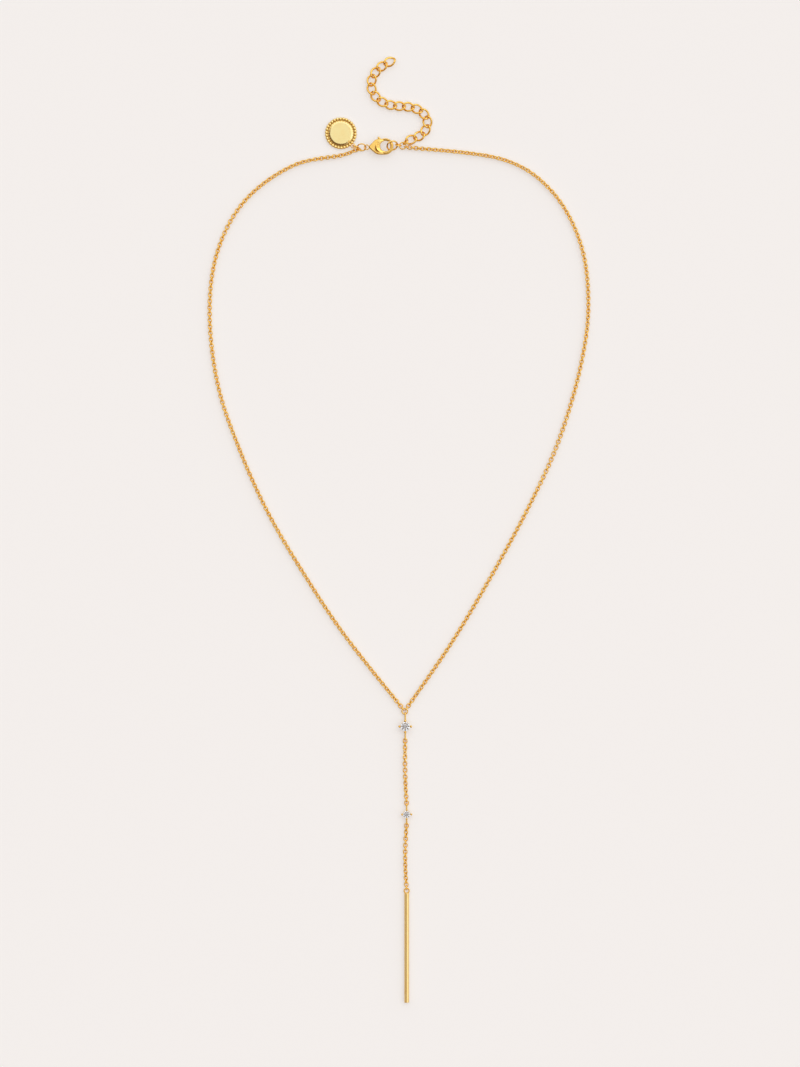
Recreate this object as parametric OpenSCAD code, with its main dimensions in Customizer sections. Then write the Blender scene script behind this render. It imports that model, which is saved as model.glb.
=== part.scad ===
// Y necklace of fine cable chain: a loop of 450 mm, a drop with two set stones and a
// plain bar, a lobster clasp, a beaded round tag and an extender of curb links.
// It lies on a flat surface at Z = 0. +Y runs from the bar's end up to the extender.

/* [Loop] */
// Width of the loop that both sides of the chain lie in
loop_width = 116; // [100:1:130]
// Length of the loop from the clasp down to the Y ring
loop_length = 172.95; // [150:0.05:200]

/* [Cable chain] */
// Overall length of one cable link
cable_length = 1.82; // [1.72:0.02:2]
// Overall width of one cable link
cable_width = 1.3; // [1.2:0.05:1.5]
// Thickness of a cable link's wire
cable_wire = 0.32; // [0.24:0.01:0.34]
// Clear space where two linked wires meet
link_play = 0.13; // [0.12:0.01:0.15]
// Links between the two stones
upper_links = 19; // [9:2:21]
// Links between the lower stone and the bar
lower_links = 19; // [9:1:21]
// Sideways bow of the chain between the two stones
upper_bow = -0.25; // [-1:0.05:1]
// Sideways bow of the chain between the lower stone and the bar
lower_bow = -0.45; // [-1:0.05:1]

/* [Y ring] */
// Outer diameter of the ring where both sides and the drop meet
y_ring_d = 2.1; // [2:0.05:2.6]
// Thickness of its wire
y_ring_wire = 0.38; // [0.3:0.01:0.42]

/* [Stones and settings] */
// Diameter of the upper stone
upper_stone_d = 2.8; // [2.4:0.05:3.2]
// Diameter of the lower stone
lower_stone_d = 2.2; // [1.9:0.05:2.6]
// Height of a stone's girdle above the surface, for each unit of its diameter
girdle_rise = 0.55; // [0.52:0.01:0.6]
// Thickness of a prong
prong_wire = 0.38; // [0.32:0.01:0.39]
// Thickness of the rings that join the prongs
gallery_wire = 0.42; // [0.4:0.01:0.48]
// Diameter of the ball on a prong's tip at the upper stone
upper_ball_d = 0.72; // [0.6:0.02:0.8]
// Diameter of the ball on a prong's tip at the lower stone
lower_ball_d = 0.62; // [0.56:0.02:0.7]
// Space between a stone and its seat in the metal
stone_gap = 0.04; // [0.03:0.01:0.06]
// Length of the hoops above and below the upper stone
upper_hoop_length = 3; // [2.6:0.1:3.6]
// Length of the hoops above and below the lower stone
lower_hoop_length = 2.3; // [2.2:0.1:3]
// Height of a hoop standing on its edge
hoop_height = 1.45; // [1.4:0.05:1.7]
// Thickness of a hoop's wire
hoop_wire = 0.44; // [0.36:0.01:0.48]

/* [Bar] */
// Length of the bar
bar_length = 33.5; // [20:0.5:45]
// Diameter of the bar
bar_d = 1.45; // [1.2:0.05:1.8]
// Outer diameter of the eye soldered on the bar
bar_eye_d = 1.9; // [1.8:0.05:2.4]
// Thickness of the eye's wire
bar_eye_wire = 0.42; // [0.34:0.01:0.46]

/* [Clasp] */
// Distance from the middle of the hook to the middle of the tail eye
clasp_reach = 5.65; // [5.6:0.01:5.75]
// Outer diameter of the hook
hook_d = 5.06; // [4.9:0.02:5.3]
// Thickness of the hook's wire
hook_wire = 0.96; // [0.86:0.02:1]
// Thickness of the clasp's body at its middle
clasp_thick = 2; // [1.8:0.05:2.2]
// How far the slope round the opening reaches out on the body
bevel_reach = 1.25; // [0.9:0.05:1.4]
// Half width of the body behind the hook
shoulder_r = 2.38; // [2.3:0.02:2.46]
// Radius of the body's tail
tail_r = 0.5; // [0.45:0.01:0.6]
// Outer diameter of the tail eye
clasp_eye_d = 1.75; // [1.7:0.05:1.9]
// Thickness of the tail eye's wire
clasp_eye_wire = 0.3; // [0.26:0.01:0.32]
// Thickness of the lever
lever_thick = 0.6; // [0.5:0.02:0.66]
// Width of the lever's arm
lever_width = 0.82; // [0.6:0.02:0.86]
// Space round the lever in its slot
lever_gap = 0.08; // [0.06:0.01:0.1]
// Diameter of the lever's pin
pin_d = 0.6; // [0.5:0.02:0.66]
// Space between the pin and its holes
pin_gap = 0.04; // [0.03:0.01:0.05]

/* [Jump rings] */
// Outer diameter of the ring in the clasp's tail eye
clasp_ring_d = 3; // [2.8:0.05:3.4]
// Thickness of its wire
clasp_ring_wire = 0.38; // [0.32:0.01:0.4]
// Outer diameter of the ring in the clasp's hook
hook_ring_d = 3.7; // [3.6:0.05:4]
// Thickness of its wire
hook_ring_wire = 0.46; // [0.4:0.01:0.5]
// Length of the oval link between the hook ring and the end ring
hook_link_length = 2.1; // [2:0.05:2.6]
// Width of that link
hook_link_width = 1.5; // [1.4:0.05:1.7]
// Thickness of its wire
hook_link_wire = 0.34; // [0.28:0.01:0.38]
// Outer diameter of the end ring, which holds the right side and the extender
end_ring_d = 2.4; // [2.3:0.05:2.8]
// Thickness of its wire
end_ring_wire = 0.38; // [0.32:0.01:0.4]
// Outer diameter of the extender's first ring
extender_ring_d = 2.3; // [2.2:0.05:2.6]
// Thickness of its wire
extender_ring_wire = 0.4; // [0.34:0.01:0.42]

/* [Extender] */
// Number of curb links
extender_links = 16; // [8:1:16]
// Overall length of a curb link
curb_length = 3.95; // [3.8:0.05:4.2]
// Overall width of a curb link
curb_width = 2.95; // [2.8:0.05:3.2]
// Thickness of a curb link's wire
curb_wire = 0.52; // [0.44:0.01:0.56]

/* [Tag] */
// Outer diameter of the tag over its beads
tag_d = 9.8; // [9.2:0.1:11]
// Thickness of the tag's rim
tag_rim_thick = 0.52; // [0.45:0.01:0.6]
// Number of beads round the rim
tag_beads = 30; // [24:1:32]
// Diameter of a bead
tag_bead_d = 0.9; // [0.8:0.02:0.94]
// Diameter of the raised flat field
tag_field_d = 6.5; // [6:0.1:6.8]
// Width of the slope round the field
tag_slope = 0.6; // [0.4:0.05:0.6]
// Rise of the field above the rim
tag_field_rise = 0.4; // [0.2:0.02:0.44]
// Outer diameter of the eye on the tag's edge
tag_eye_d = 1.6; // [1.55:0.05:1.75]
// Thickness of the eye's wire
tag_eye_wire = 0.28; // [0.24:0.01:0.3]
// Outer diameter of the ring that holds the tag
tag_ring_d = 2.34; // [2.2:0.02:2.5]
// Thickness of its wire
tag_ring_wire = 0.34; // [0.28:0.01:0.36]

/* [Hidden] */

gold = "#e9ba55";
pale_gold = "#efd98a";
clear = "#eef3f8";

// Places in millimetres, measured from the middle of the necklace
hook_at = [-4.25, 117.35];
y_ring_at = [1.75, hook_at.y - loop_length];
clasp_turn = 3;
// Routes of the chains, chosen along their middle lines, from the clasp down to the Y, for a
// loop of this width and length
route_width = 116;
route_length = 172.95;
left_route = [
    [-17.5, 114.7], [-32.5, 111.5], [-47, 101], [-55.5, 85.5], [-58, 66.5], [-55.5, 44.5], [-49, 25],
    [-40, 5], [-28.5, -14.5], [-16.5, -32.5]];
right_route = [
    [31.5, 113.5], [46.5, 104], [55.5, 88], [58, 69], [55.5, 49.5], [49, 27.5],
    [40.5, 8.5], [29.5, -12], [16.5, -34]];
// Route of the extender from its ring to its free end
extender_route = [
    [5, 119.95], [7.5, 121.3], [8.9, 124], [8.2, 127], [5.6, 128.9], [2.4, 129.6],
    [-2.2, 129.9], [-6.2, 131.5], [-8.6, 135], [-8.1, 138.8], [-5.6, 141.8], [-1.2, 144.1], [0.8, 144.5]];

// Steps along a piece of a chain's route: the tube has a ring at each
route_steps = 4;
// Sides of the chain's tube, of a link's wire and corners of a link
tube_sides = 8;
wire_sides = 6;
link_corners = 12;
curb_corners = 16;
round_fn = 48;

function unit(v) = v / norm(v);
function flat(v) = [v.x, v.y, 0];
function polar(angle, r = 1) = [r * cos(angle), r * sin(angle), 0];
function at_height(p, z) = [p.x, p.y, z];
// How far inside a ring's middle line another wire's middle lies when it is held
function held(wire1, wire2) = (wire1 + wire2) / 2 + link_play;

// Axes of a link that lies along a direction and is rolled about it
function link_axes(along, roll) =
    let (x = unit(along), side = unit(cross([0, 0, 1], x)), up = cross(x, side))
    [x, cos(roll) * side + sin(roll) * up, -sin(roll) * side + cos(roll) * up];

module set_at(place, axes) {
    multmatrix([for (i = [0 : 2]) [axes[0][i], axes[1][i], axes[2][i], place[i]]])
        children();
}

// Closed tube through a loop of points: ups gives each point's direction out of the loop's plane
module loop_tube(points, ups, wire) {
    n = len(points);
    sections = [for (i = [0 : n - 1])
        let (along = unit(points[(i + 1) % n] - points[(i + n - 1) % n]),
             out = unit(cross(along, ups[i])), up = cross(out, along))
        for (s = [0 : wire_sides - 1])
            points[i] + wire / 2 * (cos(360 * s / wire_sides) * out + sin(360 * s / wire_sides) * up)];
    polyhedron(sections, [for (i = [0 : n - 1], s = [0 : wire_sides - 1])
        let (j = (i + 1) % n, t = (s + 1) % wire_sides)
        [i * wire_sides + s, i * wire_sides + t, j * wire_sides + t, j * wire_sides + s]],
        convexity = 4);
}

// Oval link in its own frame, long along X; twist turns its ends about X against each other.
// A fullness of 1 gives an ellipse, less gives blunter ends.
module oval_link(length, width, wire, twist = 0, corners = link_corners, fullness = 0.7) {
    half = (length - wire) / 2;
    angles = [for (i = [0 : corners - 1]) 360 * i / corners];
    turns = [for (a = angles) twist / 2 * cos(a)];
    loop_tube(
        [for (i = [0 : corners - 1])
            let (y = (width - wire) / 2 * sin(angles[i]))
            [half * sign(cos(angles[i])) * pow(abs(cos(angles[i])), fullness),
             y * cos(turns[i]), y * sin(turns[i])]],
        [for (turn = turns) [0, -sin(turn), cos(turn)]], wire);
}

module cable_link() {
    oval_link(cable_length, cable_width, cable_wire);
}

// Round ring in the XY plane
module wire_ring(r, wire) {
    rotate_extrude($fn = round_fn)
        translate([r, 0]) circle(d = wire, $fn = 24);
}

// Oblong hoop in the XY plane, long along X, with its near end at the origin
module hoop(length, width, wire) {
    r = (width - wire) / 2;
    straight = length - width;
    translate([wire / 2 + r, 0, 0]) {
        rotate([0, 0, 90]) half_ring(r, wire);
        translate([straight, 0, 0]) rotate([0, 0, -90]) half_ring(r, wire);
        for (side = [-1, 1])
            translate([0, side * r, 0]) rotate([0, 90, 0]) cylinder(d = wire, h = straight, $fn = 24);
    }
}

module half_ring(r, wire) {
    rotate_extrude(angle = 180, $fn = round_fn)
        translate([r, 0]) circle(d = wire, $fn = 24);
}

// Smooth curve through chosen points, with a number of steps between each two
function curve_point(a, b, c, d, t) =
    0.5 * (2 * b + t * (c - a) + t * t * (2 * a - 5 * b + 4 * c - d)
        + t * t * t * (3 * b - a - 3 * c + d));
function curve(points, steps) =
    let (n = len(points))
    concat([for (i = [0 : n - 2], s = [0 : steps - 1])
        curve_point(points[max(i - 1, 0)], points[i], points[i + 1], points[min(i + 2, n - 1)],
            s / steps)], [points[n - 1]]);

// Tube of the chain's outer width through points at one height
module chain_tube(points) {
    n = len(points);
    sections = [for (i = [0 : n - 1])
        let (along = unit(points[min(i + 1, n - 1)] - points[max(i - 1, 0)]),
             side = cross(along, [0, 0, 1]))
        for (s = [0 : tube_sides - 1])
            points[i] + cable_width / 2 * (cos(360 * s / tube_sides) * side
                + sin(360 * s / tube_sides) * [0, 0, 1])];
    polyhedron(sections, concat(
        [[for (s = [0 : tube_sides - 1]) tube_sides - 1 - s]],
        [[for (s = [0 : tube_sides - 1]) (n - 1) * tube_sides + s]],
        [for (i = [0 : n - 2], s = [0 : tube_sides - 1])
            let (t = (s + 1) % tube_sides)
            [i * tube_sides + s, i * tube_sides + t, (i + 1) * tube_sides + t,
             (i + 1) * tube_sides + s]]), convexity = 10);
}

// Measures of the chain
cable_half = (cable_length - cable_wire) / 2;
cable_pitch = 2 * cable_half - held(cable_wire, cable_wire);
chain_z = max(hoop_height, cable_width, bar_d) / 2;
// From the middle of a link's end wire to the face of the tube after it
tube_start = 2 * cable_half + cable_wire / 2 + link_play;
// Small height that keeps a leaning ring off the surface
ring_lift = 0.02;

// The Y ring, and the angles at which both sides leave it
y_ring_r = (y_ring_d - y_ring_wire) / 2;
y_place = at_height(y_ring_at, chain_z);
left_leave = 128;
right_leave = 58;

// The clasp and its ring
hook_r = (hook_d - hook_wire) / 2;
hook_ring_r = (hook_ring_d - hook_ring_wire) / 2;
hook_ring_axes = ring_axes(21, 42);
clasp_z = hook_ring_r * sin(42) + hook_ring_wire / 2 + ring_lift;
function clasp_point(p) =
    [hook_at.x + p.x * cos(clasp_turn) - p.y * sin(clasp_turn),
     hook_at.y + p.x * sin(clasp_turn) + p.y * cos(clasp_turn), clasp_z];
// The hook's wire passes through the hook ring with room to spare
hook_ring_slack = 0.65;
hook_ring_place = clasp_point(
    [hook_r - held(hook_wire, hook_ring_wire) - hook_ring_slack + hook_ring_r, 0.1]);
clasp_eye_r = (clasp_eye_d - clasp_eye_wire) / 2;
clasp_ring_r = (clasp_ring_d - clasp_ring_wire) / 2;
clasp_ring_axes = ring_axes(0, 44);
clasp_ring_place = clasp_point([-clasp_reach - clasp_eye_r + held(clasp_eye_wire, clasp_ring_wire), 0])
    - rim(clasp_ring_axes, 0, clasp_ring_r);

// The tag hangs on the left of the clasp ring
tag_ring_r = (tag_ring_d - tag_ring_wire) / 2;
tag_ring_axes = ring_axes(-18, 90);
tag_ring_hold = 189;
tag_ring_near = 3;
tag_ring_place = clasp_ring_place
    + rim(clasp_ring_axes, tag_ring_hold, clasp_ring_r - held(clasp_ring_wire, tag_ring_wire))
    - rim(tag_ring_axes, tag_ring_near, tag_ring_r);
tag_eye_r = (tag_eye_d - tag_eye_wire) / 2;
tag_eye_z = tag_rim_thick + 0.1;
// More room where a wire passes through a ring on the slant
slant_play = 0.1;
tag_eye_out = tag_d / 2 + 0.7 * tag_eye_r;
tag_eye_turn = -46;
// Bare edge outside the beads, and how deep a bead's middle lies in the rim
tag_edge = 0.06;
tag_bead_sink = 0.02;
tag_hold = 180 - asin((tag_eye_z - tag_ring_place.z) / tag_ring_r);
tag_eye_place = tag_ring_place + rim(tag_ring_axes, tag_hold, tag_ring_r)
    - polar(tag_eye_turn, tag_eye_r - held(tag_eye_wire, tag_ring_wire) - slant_play);
tag_place = flat(tag_eye_place) - polar(tag_eye_turn, tag_eye_out);

// The oval link from the hook ring to the end ring, and what the end ring holds
hook_link_half = (hook_link_length - hook_link_wire) / 2;
hook_link_near = hook_ring_place
    + rim(hook_ring_axes, -7, hook_ring_r - held(hook_ring_wire, hook_link_wire));
hook_link_along = direction(-6, -20);
hook_link_roll = 118;
end_ring_r = (end_ring_d - end_ring_wire) / 2;
end_ring_axes = ring_axes(-10, 16);
end_ring_place = hook_link_near
    + (2 * hook_link_half - held(hook_link_wire, end_ring_wire)) * hook_link_along
    - rim(end_ring_axes, 180, end_ring_r);
extender_ring_r = (extender_ring_d - extender_ring_wire) / 2;
extender_ring_axes = ring_axes(48, -65);
extender_ring_place = end_ring_place
    + rim(end_ring_axes, 76, end_ring_r - held(end_ring_wire, extender_ring_wire))
    - rim(extender_ring_axes, 172, extender_ring_r);

// Both ends of both sides: the middle of the end link's outer wire, its direction and its roll
left_hold = 254;
left_yaw = 187;
left_roll = 60;
left_near = clasp_ring_place
    + rim(clasp_ring_axes, left_hold, clasp_ring_r - held(clasp_ring_wire, cable_wire));
left_along = leaving(left_near, left_near + polar(left_yaw));
right_hold = -23;
right_roll = 102;
right_near = end_ring_place
    + rim(end_ring_axes, right_hold, end_ring_r - held(end_ring_wire, cable_wire));
right_along = leaving(right_near, fitted(right_route)[0]);
left_low = y_place + polar(left_leave, y_ring_r - held(y_ring_wire, cable_wire));
right_low = y_place + polar(right_leave, y_ring_r - held(y_ring_wire, cable_wire));

// Direction at which an end link runs from a ring down to the chain's height
function leaving(near, toward) =
    let (level = unit(flat(toward - near))) unit([level.x, level.y, (chain_z - near.z) / 4]);
function lifted(route) = [for (p = fitted(route)) at_height(p, chain_z)];
// A side's route drawn out to the loop's own width and length
function fitted(route) =
    [for (p = route) [p.x * loop_width / route_width,
                      hook_at.y + (p.y - hook_at.y) * loop_length / route_length]];

// Extender
curb_half = (curb_length - curb_wire) / 2;
curb_hold = held(curb_wire, curb_wire) + slant_play / 2;
curb_pitch = 2 * curb_half - curb_hold;
curb_twist = -90;
curb_rise = max([for (a = [0 : 5 : 90]) sin(a) * abs(sin(curb_twist / 2 * cos(a)))]);
curb_z = curb_rise * (curb_width - curb_wire) / 2 + curb_wire / 2 + ring_lift;
extender_near = extender_ring_place
    + rim(extender_ring_axes, 44, extender_ring_r - held(extender_ring_wire, curb_wire) - slant_play / 2);
extender_start = extender_near
    + curb_hold / 2 * unit(at_height(extender_route[0], curb_z) - extender_near);
extender_line = curve(concat([extender_start], [for (p = extender_route) at_height(p, curb_z)]), 12);
extender_joints = walk(extender_line, curb_pitch, extender_links, extender_start, 1);

// Points a fixed distance apart along a line of close points
function walk(line, step, count, from, i) =
    count == 0 || i >= len(line) ? [from]
    : norm(line[i] - from) < step ? walk(line, step, count, from, i + 1)
    : let (a = norm(line[i - 1] - from), b = norm(line[i] - from),
           next = line[i - 1] + (step - a) / (b - a) * (line[i] - line[i - 1]))
      concat([from], walk(line, step, count - 1, next, i));

// The drop, from the Y ring down; a stone's place is that of its middle
stone_pavilion = 0.43;
stone_crown = 0.16;
stone_table = 0.56;
stone_girdle = 0.03;
// Corners between the table and the girdle, and between the girdle and the culet
star_r = 0.8;
star_z = 0.56;
culet_r = 0.3;
culet_z = 0.735;
prong_foot = 0.49;
seat_share = 0.87;
// Radius of the ring under the prongs, for each unit of the stone's diameter
gallery_share = 0.42;
function girdle_z(stone_d) = girdle_rise * stone_d;
function prong_r(stone_d, ball_d) = (stone_d + ball_d) / 2;
function prong_top(stone_d, ball_d) = girdle_z(stone_d) + ball_d / 2;
// How far out a prong stands at a height
function prong_at(stone_d, ball_d, z) =
    let (foot = prong_foot * stone_d, foot_z = gallery_wire / 2)
    foot + (prong_r(stone_d, ball_d) - foot) * (z - foot_z) / (prong_top(stone_d, ball_d) - foot_z);
// The ring under the stone stands clear of the slope of its lower half
function seat_r(stone_d) = seat_share * stone_d / 2;
function seat_z(stone_d) =
    let (lean = atan(culet_z * stone_pavilion / (1 - culet_r) * 2))
    girdle_z(stone_d) - stone_girdle / 2 * stone_d
        - ((gallery_wire / 2 + stone_gap) / cos(lean) + (stone_d / 2 - seat_r(stone_d)) * tan(lean));
// From the stone's middle to the middle of the hoop's far wire
function hoop_reach(stone_d, ball_d, length) =
    prong_at(stone_d, ball_d, hoop_height / 2) + length - hoop_wire / 2;

hoop_hold = held(hoop_wire, cable_wire);
upper_reach = hoop_reach(upper_stone_d, upper_ball_d, upper_hoop_length);
lower_reach = hoop_reach(lower_stone_d, lower_ball_d, lower_hoop_length);
upper_stone_x = y_ring_at.x + 0.15;
lower_stone_x = y_ring_at.x + 0.6;
bar_x = y_ring_at.x + 0.6;
upper_stone_y = y_ring_at.y - y_ring_r + held(y_ring_wire, hoop_wire) - upper_reach;
// Middle of the first and of the last link's end wire, above and below the lower stone
upper_first_y = upper_stone_y - upper_reach + hoop_hold;
upper_last_y = upper_first_y - 2 * cable_half - (upper_links - 1) * cable_pitch;
lower_stone_y = upper_last_y + hoop_hold - lower_reach;
lower_first_y = lower_stone_y - lower_reach + hoop_hold;
lower_last_y = lower_first_y - 2 * cable_half - (lower_links - 1) * cable_pitch;
bar_eye_r = (bar_eye_d - bar_eye_wire) / 2;
bar_eye_y = lower_last_y + held(bar_eye_wire, cable_wire) - bar_eye_r;
bar_top_y = bar_eye_y - bar_eye_r;

// Clasp: places in its own frame, with the middle of the hook at the origin
body_proud = 0.03;
body_r = hook_d / 2 + body_proud;
body_end = -0.1;
shoulder_x = -1.7;
tail_x = -4.45;
pin_at = [-2.15, 0.9];
lens_at = [-2.2, 0];
lens_r = 6.25;
hub_r = 0.62;
bevel_rise = 0.6;
bevel_over = 0.3;
lever_out = 0.05;
lever_outer = hook_d / 2 - lever_out;
lever_reach = 3.5;
tab_turn = 124.5;
tab_reach = 3.62;
tab_width = 0.7;
slot_half = lever_thick / 2 + lever_gap;

function ring_axes(turn, tilt) =
    [[cos(turn), sin(turn), 0], [-sin(turn) * cos(tilt), cos(turn) * cos(tilt), sin(tilt)],
     [sin(turn) * sin(tilt), -cos(turn) * sin(tilt), cos(tilt)]];
function rim(axes, angle, r) = r * (cos(angle) * axes[0] + sin(angle) * axes[1]);
function direction(turn, rise) = [cos(turn) * cos(rise), sin(turn) * cos(rise), sin(rise)];
function extender_name(k) = str("extender_link_", k < 10 ? "0" : "", k);

// Cable link that starts at a wire's middle and runs along a direction
module end_link(near, along, roll) {
    set_at(near + cable_half * along, link_axes(along, roll)) cable_link();
}

// One side: a link at each end and the chain between them
module chain_side(near, along, roll, route, low) {
    last = lifted(route)[len(route) - 1];
    low_along = unit(last - low);
    end_link(near, along, roll);
    end_link(low, low_along, 90);
    chain_tube(curve(concat([near + tube_start * along], lifted(route),
        [low + tube_start * low_along]), route_steps));
}

module chain_left() {
    color(gold) chain_side(left_near, left_along, left_roll, left_route, left_low);
}

module chain_right() {
    color(gold) chain_side(right_near, right_along, right_roll, right_route, right_low);
}

module y_ring() {
    color(gold) translate(y_place) wire_ring(y_ring_r, y_ring_wire);
}

// Round stone with a table, 8 main and 24 small facets above the girdle and 24 below
module brilliant(d) {
    function level(n, share, z, turn = 0) =
        [for (i = [0 : n - 1]) let (p = polar(360 * (i + turn) / n, share * d / 2)) [p.x, p.y, z * d]];
    points = concat(
        level(8, stone_table, stone_girdle / 2 + stone_crown),
        level(8, star_r, stone_girdle / 2 + stone_crown * star_z, 0.5),
        level(16, 1, stone_girdle / 2),
        level(16, 1, -stone_girdle / 2),
        level(8, culet_r, -stone_girdle / 2 - stone_pavilion * culet_z, 0.5),
        [[0, 0, -stone_girdle / 2 - stone_pavilion]]);
    hull() polyhedron(points, [[for (i = [0 : len(points) - 1]) i]]);
}

module rod(a, b, d) {
    z = unit(b - a);
    x = unit(cross(z, [z.y, z.z + 1, -z.x]));
    set_at(a, [x, cross(z, x), z]) cylinder(d = d, h = norm(b - a), $fn = 24);
}

// Four prongs on two rings, the upper of which carries the stone, with a hoop above and below
module setting(stone_d, ball_d, hoop_length) {
    top = [prong_r(stone_d, ball_d), 0, prong_top(stone_d, ball_d)];
    foot = [prong_foot * stone_d, 0, gallery_wire / 2];
    for (turn = [0 : 90 : 270])
        rotate([0, 0, turn]) {
            rod(foot, top, prong_wire);
            translate(top) sphere(d = ball_d, $fn = 32);
        }
    translate([0, 0, foot.z]) wire_ring(gallery_share * stone_d, gallery_wire);
    translate([0, 0, seat_z(stone_d)]) wire_ring(seat_r(stone_d), gallery_wire);
    for (side = [-1, 1])
        set_at([0, side * prong_at(stone_d, ball_d, hoop_height / 2), hoop_height / 2],
               [[0, side, 0], [0, 0, 1], [side, 0, 0]])
            hoop(hoop_length, hoop_height, hoop_wire);
}

module upper_setting() {
    color(gold) translate([upper_stone_x, upper_stone_y, 0])
        setting(upper_stone_d, upper_ball_d, upper_hoop_length);
}

module lower_setting() {
    color(gold) translate([lower_stone_x, lower_stone_y, 0])
        setting(lower_stone_d, lower_ball_d, lower_hoop_length);
}

module upper_stone() {
    color(clear) translate([upper_stone_x, upper_stone_y, girdle_z(upper_stone_d)])
        brilliant(upper_stone_d);
}

module lower_stone() {
    color(clear) translate([lower_stone_x, lower_stone_y, girdle_z(lower_stone_d)])
        brilliant(lower_stone_d);
}

// Links from a first to a last end wire, the first one flat; the last is turned by more
module drop_chain(count, first, last_x, bow, more) {
    joint = function (k) let (t = k / count)
        [first.x + (last_x - first.x) * t + bow * sin(180 * t),
         first.y - held(cable_wire, cable_wire) / 2 - k * cable_pitch, chain_z];
    for (k = [0 : count - 1]) {
        along = joint(k + 1) - joint(k);
        set_at((joint(k) + joint(k + 1)) / 2, link_axes(along, 90 * k + more * k / max(count - 1, 1)))
            cable_link();
    }
}

module drop_chain_upper() {
    color(gold) drop_chain(upper_links, [upper_stone_x, upper_first_y],
        lower_stone_x, upper_bow, upper_links % 2 == 1 ? 0 : 90);
}

module drop_chain_lower() {
    color(gold) drop_chain(lower_links, [lower_stone_x, lower_first_y],
        bar_x, lower_bow, lower_links % 2 == 1 ? 90 : 0);
}

// Plain round bar with its edges broken, and the eye soldered on its top
module bar() {
    edge = 0.1;
    r = bar_d / 2;
    color(gold) {
        translate([bar_x, bar_top_y, chain_z]) rotate([90, 0, 0])
            rotate_extrude($fn = round_fn)
                polygon([[0, 0], [r - edge, 0], [r, edge], [r, bar_length - edge],
                         [r - edge, bar_length], [0, bar_length]]);
        translate([bar_x, bar_eye_y, chain_z]) wire_ring(bar_eye_r, bar_eye_wire);
    }
}

function arc(middle, r, from, to, steps) =
    [for (i = [0 : steps]) let (a = from + (to - from) * i / steps)
        [middle + r * cos(a), r * sin(a)]];

// Round shoulder and round tail with straight flanks between; it ends on a straight edge
module clasp_outline() {
    head_rise = (body_r - shoulder_r) / -shoulder_x;
    tail_rise = (shoulder_r - tail_r) / (shoulder_x - tail_x);
    head_turn = acos(-head_rise);
    tail_turn = acos(-tail_rise);
    end_y = (shoulder_r + head_rise * (body_end - shoulder_x)) / sqrt(1 - head_rise ^ 2);
    polygon(concat([[body_end, end_y]],
        arc(shoulder_x, shoulder_r, head_turn, tail_turn, 14),
        arc(tail_x, tail_r, tail_turn, 360 - tail_turn, 12),
        arc(shoulder_x, shoulder_r, 360 - tail_turn, 360 - head_turn, 14),
        [[body_end, -end_y]]));
}

module in_clasp() {
    translate([hook_at.x, hook_at.y, clasp_z]) rotate([0, 0, clasp_turn]) children();
}

// Domed body with its hook and tail eye, slotted for the lever
module clasp_body() {
    // The body stands a little proud of the hook's wire, inside and out
    inner_r = hook_r - hook_wire / 2 - body_proud;
    lens_z = lens_r - clasp_thick / 2;
    tip_clear = lever_reach + 1.5 * lever_gap;
    color(gold) in_clasp() {
        difference() {
            intersection() {
                translate([0, 0, -clasp_thick / 2]) linear_extrude(clasp_thick) clasp_outline();
                translate([lens_at.x, lens_at.y, lens_z]) sphere(lens_r, $fn = 96);
                translate([lens_at.x, lens_at.y, -lens_z]) sphere(lens_r, $fn = 96);
            }
            cylinder(r = inner_r, h = 2 * clasp_thick, center = true, $fn = 96);
            // Slope round the opening, above and below, carried on past the body's faces
            for (face = [0, 180])
                rotate([face, 0, 0]) translate([0, 0, clasp_thick / 2 - bevel_rise])
                    cylinder(r1 = inner_r, r2 = inner_r + bevel_reach * (1 + bevel_over),
                             h = bevel_rise * (1 + bevel_over), $fn = 96);
            translate([pin_at.x, pin_at.y, -slot_half])
                cylinder(r = hub_r + lever_gap, h = 2 * slot_half, $fn = round_fn);
            translate([pin_at.x - hub_r, pin_at.y - hub_r / 2, -slot_half])
                cube([hook_d, hook_d, 2 * slot_half]);
            translate([pin_at.x, pin_at.y, 0])
                cylinder(d = pin_d + 2 * pin_gap, h = 2 * clasp_thick, center = true, $fn = round_fn);
        }
        difference() {
            rotate([0, 0, 210]) rotate_extrude(angle = 214, $fn = 96)
                translate([hook_r, 0]) circle(d = hook_wire, $fn = 32);
            intersection() {
                translate([pin_at.x, pin_at.y, 0])
                    cylinder(r = tip_clear, h = 2 * hook_wire, center = true, $fn = 96);
                translate([pin_at.x, pin_at.y - 0.4, -hook_wire])
                    cube([hook_d, hook_d, 2 * hook_wire]);
            }
        }
        translate([-clasp_reach, 0, 0]) wire_ring(clasp_eye_r, clasp_eye_wire);
    }
}

module clasp_pin() {
    color(gold) in_clasp() translate([pin_at.x, pin_at.y, 0])
        cylinder(d = pin_d, h = 0.92 * clasp_thick, center = true, $fn = round_fn);
}

// Arm that closes the hook, its hub on the pin and the thumb tab
module clasp_lever() {
    color(gold) in_clasp() translate([0, 0, -lever_thick / 2]) linear_extrude(lever_thick)
        difference() {
            union() {
                intersection() {
                    difference() {
                        circle(lever_outer, $fn = 96);
                        circle(lever_outer - lever_width, $fn = 96);
                    }
                    translate(pin_at) circle(lever_reach, $fn = 96);
                    polygon([[0, 0], 6 * [cos(20), sin(20)], 6 * [cos(90), sin(90)],
                             6 * [cos(155), sin(155)]]);
                }
                translate(pin_at) circle(hub_r, $fn = round_fn);
                rotate(tab_turn) translate([lever_outer - lever_width / 2, -tab_width / 2])
                    square([tab_reach - lever_outer - tab_width / 2 + lever_width / 2, tab_width]);
                rotate(tab_turn) translate([tab_reach - tab_width / 2, 0])
                    circle(d = tab_width, $fn = round_fn);
            }
            translate(pin_at) circle(d = pin_d + 2 * pin_gap, $fn = round_fn);
        }
}

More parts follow.
